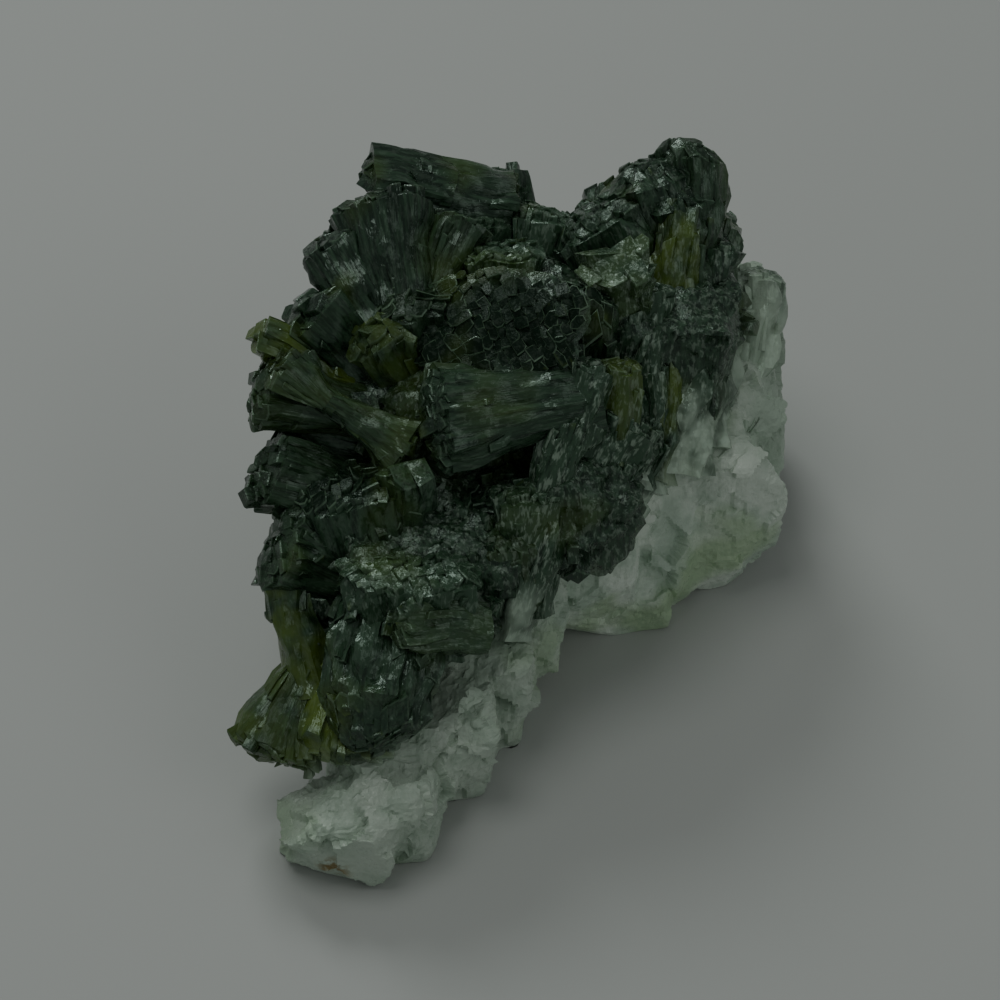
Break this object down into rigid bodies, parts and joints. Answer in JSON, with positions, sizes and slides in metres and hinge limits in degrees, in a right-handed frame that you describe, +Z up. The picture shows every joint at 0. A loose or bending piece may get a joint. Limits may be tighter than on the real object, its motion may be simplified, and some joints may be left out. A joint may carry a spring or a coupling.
{
  "type": "rough prehnite",
  "caption": "Rough prehnite specimen: fans of dark green crystals with domed caps of crystal ends, grown together on a pale wedge of matrix that rests flat.",
  "frame": {"origin": "middle of the specimen's bounding box, on the surface it rests on", "axes": "+Z up, +Y along the specimen from its narrow tip to its broad end, +X to the right seen from the tip"},
  "size_m": [0.0578, 0.0722, 0.0456],
  "materials": {
    "pale_matrix": "pale, slightly green massive quartz and prehnite, rough and sugary with a few glassy cleavage faces",
    "green_prehnite": "dark grey-green translucent prehnite, glassy crystal ends, silky striated sides, yellow-green at thin edges"
  },
  "bodies": {
    "root": {"matrix": "pale_matrix", "crystals": "green_prehnite"}
  },
  "joints": []
}
